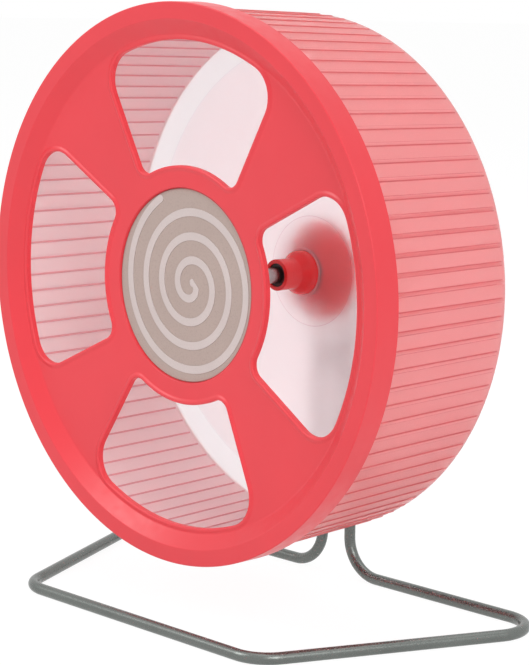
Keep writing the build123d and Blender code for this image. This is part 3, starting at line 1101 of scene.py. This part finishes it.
@dataclass
class Drum:
    """The frosted drum: ribbed tread, pale corner band and dished back wall."""

    bars: int = 96
    front_r: float = 137.5
    rear_r: float = 134.8
    front_depth: float = 2.9
    rear_depth: float = 97.5
    wall: float = 1.8
    bar_start: float = 9.0
    bar_end: float = 94.5
    bar_steps: int = 8
    front_fade: float = 0.3
    rear_fade: float = 0.35
    outer_chamfer: float = 0.4
    inner_chamfer: float = 0.3
    hole_r: float = 10.65
    foot_r: float = 12.8
    seat_depth: float = 94.4
    crease_r: Point = (29.3, 120.8)
    # Reach of the painted shade lines about each crease, and the depth behind which they go.
    crease_reach: Point = (0.13, 0.2)
    crease_depth: float = 98.0
    # Faces inside this radius get the painted highlight of the hub's seat.
    painted_highlight_r: float = 13.0
    back_look_r: float = 119.5
    corner_look: Point = (132.9, 95.2)
    longest_run: int = 14
    # Each point of a bar's section: offset, height and share of painted shade along its edge.
    rib: Section = mirrored((
        (-2.9, 0, 0), (-1.5, 0, 0), (-1.12, 0, 0.85), (-1.0, 0.16, 1), (-0.84, 0.46, 0.9), (-0.6, 0.5, 0),
    ))
    rung: Section = mirrored((
        (-2.9, 0, 0), (-1.3, 0, 0), (-0.62, 0, 0.1), (-0.42, 0.2, 0.9), (-0.3, 0.5, 1), (-0.12, 0.6, 1),
    ))

    def build(self, finishes: Finishes) -> None:
        """Build the drum and replace its solid.

        Args:
            finishes: The wheel's materials.
        """
        outside, inside_wall = self._outside(), self._inside()
        edge: list[float] = []
        rings: list[list[Vector]] = []
        for stations, bars, sign in ((outside, self.rib, 1), (inside_wall, self.rung, -1)):
            for radius, depth, raised in stations:
                ring = []
                for number in range(self.bars):
                    for offset, height, edge_shade in bars:
                        turn = TURN * number / self.bars + offset / self.front_r
                        ring.append(about_axle(radius + sign * raised * height, depth, turn))
                        # Painted shade on the bars' flanks and along the back wall's creases.
                        edge.append(max(edge_shade * raised, self._painted_crease_shade(radius, depth)))
                rings.append(ring)
        verts, faces = swept(rings, closed=True)
        piece = Piece("drum_shell", Body.WHEEL, Slot.DRUM, ("drum",))
        mesh = bpy.data.meshes.new(piece.name)
        mesh.from_pydata(verts, [], faces)
        mesh.attributes.new(PAINTED_EDGE_SHADE, "FLOAT", "POINT").data.foreach_set("value", edge)
        self._paint_faces(mesh, outside, inside_wall)
        smoothed(mesh)
        piece.settle(mesh, [finishes.tread_outside, finishes.tread_inside, finishes.corner_band,
                            finishes.back_wall, finishes.seat_highlight])

    def _outside(self) -> list[tuple[float, float, float]]:
        """Draw the section of the outside, from the front edge to the hub's hole.

        Returns:
            Radius, depth and rib share at each station.
        """
        before, after = self.bar_start - self.front_fade, self.bar_end + self.rear_fade
        tread = [(self.front_r, self.front_depth + self.outer_chamfer, 0.0),
                 (self._tread_r(before), before, 0.0)]
        for step in range(self.bar_steps + 1):
            depth = self.bar_start + (self.bar_end - self.bar_start) * step / self.bar_steps
            tread.append((self._tread_r(depth), depth, 1.0))
        tread.append((self._tread_r(after), after, 0.0))
        corners = [tread[-1][:2], (self.rear_r, self.rear_depth), (self.crease_r[1], 101.0),
                   (self.crease_r[0], 102.9), (self.foot_r, 96.2), (self.hole_r, 96.2),
                   (self.hole_r, self.seat_depth)]
        back = rounded(corners, [0, 3.0, 3.0, 1.2, 0.8, 0.2, 0], closed=False, steps=6)[1:-1]
        return tread + [(radius, depth, 0.0) for radius, depth in self._with_middles(back)]

    def _inside(self) -> list[tuple[float, float, float]]:
        """Draw the section of the inside, from the hub's hole to the front edge.

        Returns:
            Radius, depth and rung share at each station.
        """
        corners = [(self.hole_r, self.seat_depth), (self.foot_r, self.seat_depth), (self.crease_r[0], 101.1),
                   (self.crease_r[1], 99.2), (133.0, 95.7),
                   (self._tread_r(self.bar_end) - self.wall, self.bar_end + self.rear_fade)]
        back = rounded(corners, [0, 0.8, 1.2, 3.0, 1.2, 0], closed=False, steps=6)
        result = [(radius, depth, 0.0) for radius, depth in self._with_middles(back)]
        for step in range(self.bar_steps + 1):
            depth = self.bar_end + (self.bar_start - self.bar_end) * step / self.bar_steps
            result.append((self._tread_r(depth) - self.wall, depth, 1.0))
        for depth in (self.bar_start - self.front_fade, self.front_depth + self.inner_chamfer):
            result.append((self._tread_r(depth) - self.wall, depth, 0.0))
        edge_r = self._tread_r(self.front_depth) - self.wall + self.inner_chamfer
        result.append((edge_r, self.front_depth, 0.0))
        result.append((self.front_r - self.outer_chamfer, self.front_depth, 0.0))
        return result

    def _tread_r(self, depth: float) -> float:
        """Outer radius of the tapered tread at a depth."""
        share = (depth - self.front_depth) / (self.rear_depth - self.front_depth)
        return self.front_r + (self.rear_r - self.front_r) * share

    def _painted_crease_shade(self, radius: float, depth: float) -> float:
        """One on the back wall's two thin creases, where lines of painted shade go, and nought elsewhere."""
        near = any(abs(radius - place) < reach for place, reach in zip(self.crease_r, self.crease_reach))
        return 1.0 if depth > self.crease_depth and near else 0.0

    def _with_middles(self, points: list[Point]) -> list[Point]:
        """Add points along the wall's long straight runs.

        Args:
            points: Radius and depth along the wall.

        Returns:
            The same line with the added points.
        """
        result = [points[0]]
        for before, after in zip(points, points[1:]):
            count = max(1, int(math.dist(before, after) // self.longest_run))
            for share in (step / count for step in range(1, count + 1)):
                result.append(tuple(low + (high - low) * share for low, high in zip(before, after)))
        return result

    def _paint_faces(self, mesh: bpy.types.Mesh, outside: list, inside_wall: list) -> None:
        """Give each ring of faces the look of its part of the drum, those about the hub's hole a pale painted
        highlight.

        Args:
            mesh: The drum's mesh.
            outside: Stations along the outside.
            inside_wall: Stations along the inside.
        """
        stations = [(radius, depth, 0) for radius, depth, _ in outside]
        stations += [(radius, depth, 1) for radius, depth, _ in inside_wall]
        per_ring = self.bars * len(self.rib)
        looks = []
        for first, second in zip(stations, stations[1:] + stations[:1]):
            radius, depth = (first[0] + second[0]) / 2, (first[1] + second[1]) / 2
            if radius < self.painted_highlight_r:
                look = DrumLook.PAINTED_SEAT_HIGHLIGHT
            elif radius < self.back_look_r:
                look = DrumLook.BACK
            elif radius < self.corner_look[0] and depth > self.corner_look[1]:
                look = DrumLook.CORNER
            else:
                look = DrumLook.INSIDE if second[2] and first[2] else DrumLook.OUTSIDE
            looks.extend([look] * per_ring)
        mesh.polygons.foreach_set("material_index", looks[: len(mesh.polygons)])


@dataclass
class Turned:
    """A piece turned about the axle.

    Attributes:
        piece: The piece's name, body, slot and solids.
        corners: Radius and depth of each corner of its section.
        radii: The round of each corner.
        segments: Steps around the axle.
    """

    piece: Piece
    corners: list[Point]
    radii: list[float]
    segments: int = 128

    def build(self, finish: bpy.types.Material) -> None:
        """Build the piece in its finish."""
        self.piece.make(lathe(rounded(self.corners, self.radii), self.segments), finish)


@dataclass
class RearHub:
    """The red rear hub: housing with its mouth bush in front of the wall, flared flange behind."""

    seat_depth: float = 94.4

    def build(self, finishes: Finishes) -> None:
        """Build the hub's turned pieces.

        Args:
            finishes: The wheel's materials.
        """
        housing = [(6.15, 75.45), (6.15, 74.7), (8.25, 74.7), (8.25, 85.8), (11.7, 90.6),
                   (11.7, self.seat_depth), (10.55, self.seat_depth), (10.55, 99.8), (9.5, 99.8), (9.5, 89.6),
                   (6.8, 89.6), (6.8, 84.5), (7.35, 84.5), (7.35, 75.45)]
        Turned(Piece("red_hub_housing", Body.WHEEL, Slot.HUB, ("hub_housing",)), housing,
               [0.1, 0.3, 0.5, 1.6, 5.0, 0.3, 0.1, 0.1, 0.1, 0.1, 0.1, 0.1, 0, 0]).build(finishes.hub)
        bush = [(4.05, 75.5), (7.35, 75.5), (7.35, 84.5), (4.05, 84.5)]
        Turned(Piece("black_mouth_bush", Body.WHEEL, Slot.BUSH, ("mouth_bush",)), bush,
               [0.5, 0.15, 0.1, 0.1], 96).build(finishes.bush)
        flare = [(8.4, 95.6), (9.5, 95.6), (9.5, 99.8), (10.55, 99.8), (10.55, 96.2), (12.75, 96.2),
                 (26.3, 110.5), (25.0, 111.73), (15.5, 101.6), (8.4, 101.6)]
        Turned(Piece("red_hub_flange", Body.WHEEL, Slot.HUB, ("hub_flange",)), flare,
               [0.1, 0.1, 0.1, 0.1, 0.1, 0.6, 0.8, 0.7, 2.0, 0.3]).build(finishes.hub)


@dataclass
class Axle:
    """The fixed axle and the boss that holds it."""

    radius: float = 4.0

    def build(self, finishes: Finishes) -> None:
        """Build the axle's turned pieces.

        Args:
            finishes: The wheel's materials.
        """
        rod = [(0.0, 28.9), (2.0, 28.9), (2.0, 16.9), (self.radius, 16.9), (self.radius, 88.6), (3.3, 88.6),
               (3.3, 89.6), (self.radius, 89.6), (self.radius, 126.9), (0.0, 126.9)]
        Turned(Piece("axle_shaft", Body.STAND, Slot.AXLE, ("axle_rod",)), rod,
               [0, 0.1, 0.1, 0.6, 0.1, 0.1, 0.1, 0.1, 0.4, 0], 96).build(finishes.axle)
        boss = [(self.radius, 112.9), (7.2, 112.9), (7.2, 126.9), (self.radius, 126.9)]
        Turned(Piece("axle_collar", Body.STAND, Slot.AXLE, ("axle_boss",)), boss,
               [0.2, 0.7, 0.7, 0.2], 96).build(finishes.axle)


@dataclass
class WireStand:
    """The bent wire stand with its weld beads."""

    wire_r: float = 3.0
    bend_r: float = 20.0
    front_half: float = 87.35
    rear_half: float = 153.3
    half_depth: float = 72.9
    upright_x: float = 10.2
    brace_drop: float = 48.5
    sides: int = 40
    top_steps: int = 24
    bend_steps: int = 20
    boss_bead_angles: tuple[float, ...] = (0, 90, 180)
    boss_bead_sweep: float = 50.0
    boss_bead_place: Point = (7.2, 120.9)
    boss_bead_r: float = 1.65
    boss_ripple: tuple[float, int] = (0.07, 9)
    brace_r: float = 2.0
    brace_bead_r: float = 0.95
    brace_ripple: tuple[float, int] = (0.1, 7)

    def build(self, finishes: Finishes) -> None:
        """Build the wire and its welds.

        Args:
            finishes: The wheel's materials.
        """
        self._wire(finishes)
        welds = Piece("boss_weld_beads", Body.STAND, Slot.WELD, ("boss_welds",))
        welds.make(joined(*(self._boss_bead(angle) for angle in self.boss_bead_angles)), finishes.weld)
        welds = Piece("brace_weld_beads", Body.STAND, Slot.WELD, ("brace_welds",))
        welds.make(joined(*(self._brace_bead(side) for side in (-1, 1))), finishes.weld)

    def _path(self) -> list[Vector]:
        """Lay out the wire's centre line.

        Returns:
            Its points once around, in millimetres.
        """
        low, rear = self.wire_r, self.half_depth
        right = [Vector((self.front_half, -rear, low)), Vector((self.rear_half, rear, low)),
                 Vector((self.upright_x, rear, low))]
        top = Vector((self.upright_x, rear, AXLE_HEIGHT))
        corners = [Vector((0, -rear, low)), *right, top]
        points: list[Vector] = [corners[0]]
        for before, corner, after in zip(corners, corners[1:], corners[2:]):
            points += self._bend(before, corner, after)
        for step in range(self.top_steps + 1):
            x, z = polar(self.upright_x, math.pi / 2 * step / self.top_steps, (0.0, AXLE_HEIGHT))
            points.append(Vector((x, rear, z)))
        left = [Vector((-point.x, point.y, point.z)) for point in reversed(points[1:-1])]
        return points + left

    def _bend(self, before: Vector, corner: Vector, after: Vector) -> list[Vector]:
        """Bend the wire at a corner.

        Args:
            before: The corner before it.
            corner: The corner.
            after: The corner after it.

        Returns:
            The bend's points.
        """
        back, ahead = (before - corner).normalized(), (after - corner).normalized()
        half = back.angle(ahead) / 2
        centre = corner + (back + ahead).normalized() * (self.bend_r / math.sin(half))
        start = corner + back * (self.bend_r / math.tan(half)) - centre
        end = corner + ahead * (self.bend_r / math.tan(half)) - centre
        shares = [step / self.bend_steps for step in range(self.bend_steps + 1)]
        return [centre + start.slerp(end, share) * self.bend_r for share in shares]

    def _wire(self, finishes: Finishes) -> None:
        """Draw the wire along its path.

        Args:
            finishes: The wheel's materials.
        """
        points = self._path()
        rings: list[list[Vector]] = []
        section = circle(1.0, self.sides)
        side = Vector((0, 0, 1))
        for index, point in enumerate(points):
            along = (points[(index + 1) % len(points)] - points[index - 1]).normalized()
            side = (side - along * side.dot(along)).normalized()
            up = along.cross(side)
            rings.append([(point + (side * x + up * y) * self.wire_r) * MM for x, y in section])
        shift = min(range(self.sides), key=lambda step: (rings[0][step] - rings[-1][0]).length)
        rings.append(rings[0][shift:] + rings[0][:shift])
        Piece("stand_bent_wire", Body.STAND, Slot.WIRE, ("stand_wire",)).make(swept(rings), finishes.wire)

    def _boss_bead(self, angle: float) -> MeshData:
        """Mesh a rippled weld bead in the groove between the collar and the wire.

        Args:
            angle: Degrees about the axle of its middle.

        Returns:
            Vertices and faces.
        """
        rings = []
        depth, waves = self.boss_ripple
        for share in (step / 32 for step in range(33)):
            turn = math.radians(angle + self.boss_bead_sweep * (share - 0.5))
            swell = (1 - abs(2 * share - 1) ** 4) ** 0.5 * (1 + depth * math.cos(TURN * waves * share))
            size = max(0.02, self.boss_bead_r * swell)
            section = [polar(size, TURN * part / 16, self.boss_bead_place) for part in range(16)]
            rings.append([about_axle(*place, turn) for place in section])
        return swept(rings, capped=True)

    def _brace_bead(self, side: int) -> MeshData:
        """Mesh a small ring of weld where an end of the brace meets its upright.

        Args:
            side: -1 for the left upright and 1 for the right one.

        Returns:
            Vertices and faces.
        """
        rings = []
        middle = (self.half_depth, AXLE_HEIGHT - self.brace_drop)
        depth, waves = self.brace_ripple
        for turn in (TURN * step / 48 for step in range(48)):
            size = self.brace_bead_r * (1 + depth * math.cos(waves * turn))
            ring = []
            for reach, out in circle(size, 12):
                x = side * (self.upright_x - self.wire_r + out)
                ring.append(Vector((x, *polar(self.brace_r + reach, turn, middle))) * MM)
            rings.append(ring)
        return swept(rings, closed=True)


def dress_solids(nodes: dict[str, bpy.types.Object], finishes: Finishes) -> None:
    """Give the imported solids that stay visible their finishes.

    Args:
        nodes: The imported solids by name.
        finishes: The wheel's materials.
    """
    looks = {
        "cross_brace": finishes.wire,
        "spacer_sleeve": finishes.axle,
        "axle_clip": finishes.bearing,
        "end_washer": finishes.bearing,
        "end_screw": finishes.bearing,
        "front_bush": finishes.bush,
        "bearing_inner_race": finishes.bearing,
        "bearing_outer_race": finishes.bearing,
        "bearing_shields": finishes.bearing,
        "bearing_balls": finishes.bearing,
        "bearing_cage": finishes.cage,
    }
    for name, finish in looks.items():
        for slot in nodes[name].material_slots:
            slot.material = finish
        LOG.info("%s: solid kept", name)


@dataclass
class Studio:
    """The white studio: floor, soft lights and the camera."""

    azimuth: float = 45.558
    elevation: float = 8.946
    roll: float = 0.711
    distance: float = 1022.088
    aim_right: float = 47.712
    aim_up: float = -21.804
    lens: float = 111.555
    sensor: float = 36.0
    clip_start: float = 0.05
    floor_half: float = 40.0
    floor_tone: float = 0.95
    floor_glow: float = 1.06
    floor_share: float = 0.89
    ambient: float = 0.42
    light_aim: float = 0.16
    lights: tuple[tuple[str, tuple[float, float, float], float, float], ...] = (
        ("key_light", (-1.5, -2.0, 2.1), 1.3, 29.0),
        ("side_light", (2.2, -0.9, 1.5), 1.4, 30.0),
        ("top_light", (0.1, 0.2, 2.6), 2.2, 16.0),
    )

    def build(self) -> None:
        """Build the floor, the lights, the world and the camera."""
        self._floor()
        self._world()
        for light in self.lights:
            self._light(*light)
        self._camera()
        bpy.context.scene.view_settings.view_transform = "Standard"

    def _floor(self) -> None:
        """A wide white floor that keeps a faint shadow."""
        half = self.floor_half
        mesh = bpy.data.meshes.new("studio_floor")
        corners = [(-half, -half, 0), (half, -half, 0), (half, half, 0), (-half, half, 0)]
        mesh.from_pydata(corners, [], [(0, 1, 2, 3)])
        floor = bpy.data.objects.new("studio_floor", mesh)
        bpy.context.scene.collection.objects.link(floor)
        material = bpy.data.materials.new("white_floor")
        graph = Graph(material)
        matt = graph.node("ShaderNodeBsdfDiffuse", Color=(*[self.floor_tone] * 3, 1))
        white = graph.node("ShaderNodeEmission", Strength=self.floor_glow)
        share = graph.reckon("MULTIPLY", graph.seen(), self.floor_share)
        graph.node("ShaderNodeOutputMaterial", Surface=graph.layered(share, matt, white))
        mesh.materials.append(material)

    def _world(self) -> None:
        """A white world, at full strength only where it is seen."""
        world = bpy.data.worlds.new("white_world")
        bpy.context.scene.world = world
        graph = Graph(world)
        strength = graph.node("ShaderNodeMapRange", Value=graph.seen(), To_Min=self.ambient, To_Max=1.0)
        back = graph.node("ShaderNodeBackground", Color=(1, 1, 1, 1), Strength=strength.outputs["Result"])
        graph.node("ShaderNodeOutputWorld", Surface=back.outputs["Background"])

    def _light(self, name: str, place: tuple[float, float, float], size: float, power: float) -> None:
        """Hang a square soft light that faces the wheel.

        Args:
            name: Its name.
            place: Its place in metres.
            size: Its side in metres.
            power: Its power in watts.
        """
        lamp = bpy.data.lights.new(name, "AREA")
        lamp.size = size
        lamp.energy = power
        obj = bpy.data.objects.new(name, lamp)
        bpy.context.scene.collection.objects.link(obj)
        aim = Vector((0, 0, self.light_aim)) - Vector(place)
        obj.matrix_world = Matrix.Translation(place) @ aim.to_track_quat("-Z", "Y").to_matrix().to_4x4()

    def _camera(self) -> None:
        """The camera at the photograph's place and angle."""
        turn, rise, roll = (math.radians(value) for value in (self.azimuth, self.elevation, self.roll))
        back = Vector((math.sin(turn) * math.cos(rise), -math.cos(turn) * math.cos(rise), math.sin(rise)))
        right = (-back).cross(Vector((0, 0, 1))).normalized()
        up = right.cross(-back)
        place = at_wheel(0, 0, 0) + (right * self.aim_right + up * self.aim_up + back * self.distance) * MM
        tilted_right = right * math.cos(roll) + up * math.sin(roll)
        tilted_up = up * math.cos(roll) - right * math.sin(roll)
        data = bpy.data.cameras.new("photo_camera")
        data.lens = self.lens
        data.sensor_width = self.sensor
        data.clip_start = self.clip_start
        camera = bpy.data.objects.new("photo_camera", data)
        bpy.context.scene.collection.objects.link(camera)
        frame = Matrix((tilted_right, tilted_up, back)).transposed().to_4x4()
        camera.matrix_world = Matrix.Translation(place) @ frame
        bpy.context.scene.camera = camera


def main() -> None:
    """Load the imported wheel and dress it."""
    logging.basicConfig(level=logging.INFO, format="%(message)s")
    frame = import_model()
    Studio().build()
    finishes = Finishes()
    FrontCover().build(finishes)
    SpiralDisc().build(finishes)
    Drum().build(finishes)
    RearHub().build(finishes)
    Axle().build(finishes)
    WireStand().build(finishes)
    dress_solids(frame["nodes"], finishes)


if __name__ == "__main__":
    main()
